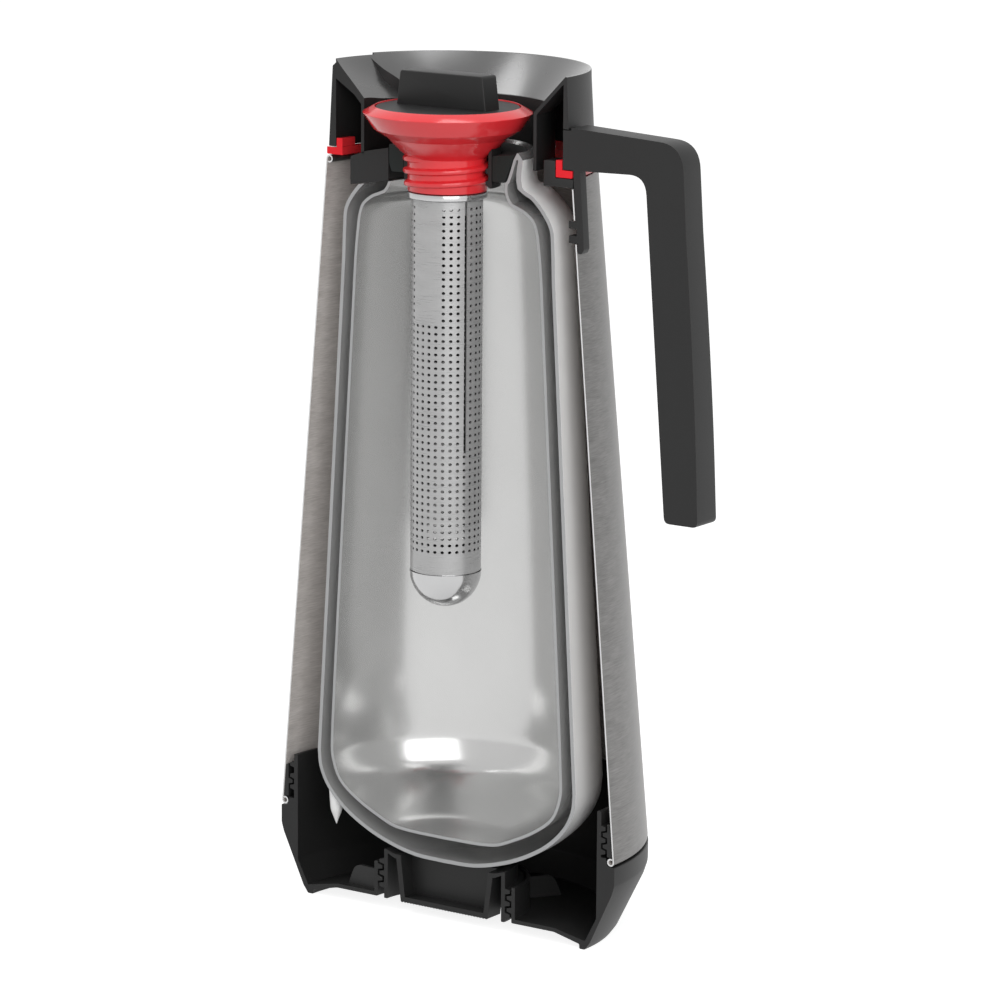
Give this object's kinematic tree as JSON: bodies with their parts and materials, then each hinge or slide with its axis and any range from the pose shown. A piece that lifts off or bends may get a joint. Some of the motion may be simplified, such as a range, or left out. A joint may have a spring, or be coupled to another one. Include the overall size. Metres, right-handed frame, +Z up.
{
  "type": "thermal jug",
  "caption": "Insulated pouring jug, sectioned along spout and handle, with glass liner, screw stopper and perforated infuser.",
  "frame": {"origin": "middle of the bounding box's underside, on the plane that the foot ring stands on", "axes": "+Z up along the jug's axis, +X from the spout to the handle, +Y from the section plane into the half that is kept"},
  "size_m": [0.1677, 0.0966, 0.29],
  "materials": {
    "steel_body": "brushed",
    "black_plastic": "satin",
    "silvered_glass": "silvered",
    "red_plastic": "gloss",
    "black_rubber": "matte",
    "infuser_steel": "satin"
  },
  "bodies": {
    "root": {"steel_body": "steel_body", "base_cup": "black_plastic", "retaining_ring": "black_plastic", "support_plug": "black_plastic", "glass_liner": "silvered_glass", "collar": "black_plastic", "trim_ring": "red_plastic", "spout_saddle": "black_plastic", "neck_seal": "black_rubber", "threaded_sleeve": "black_plastic", "handle": "black_plastic", "handle_bracket": "black_plastic"},
    "infuser": {"infuser_collar": "infuser_steel", "infuser_tube": "infuser_steel", "infuser_cap": "infuser_steel"},
    "stopper": {"stopper_seal": "red_plastic", "stopper_cap": "black_plastic"}
  },
  "joints": [
    {"name": "stopper_lift", "type": "slide", "parent": "root", "child": "infuser", "axis": [0, 0, 1], "range_m": [0, 0.19]},
    {"name": "stopper_turn", "type": "hinge", "parent": "infuser", "child": "stopper", "pos_m": [-0.01522, -0.02039, 0.25], "axis": [0, 0, 1], "range_deg": [0, 810]}
  ]
}
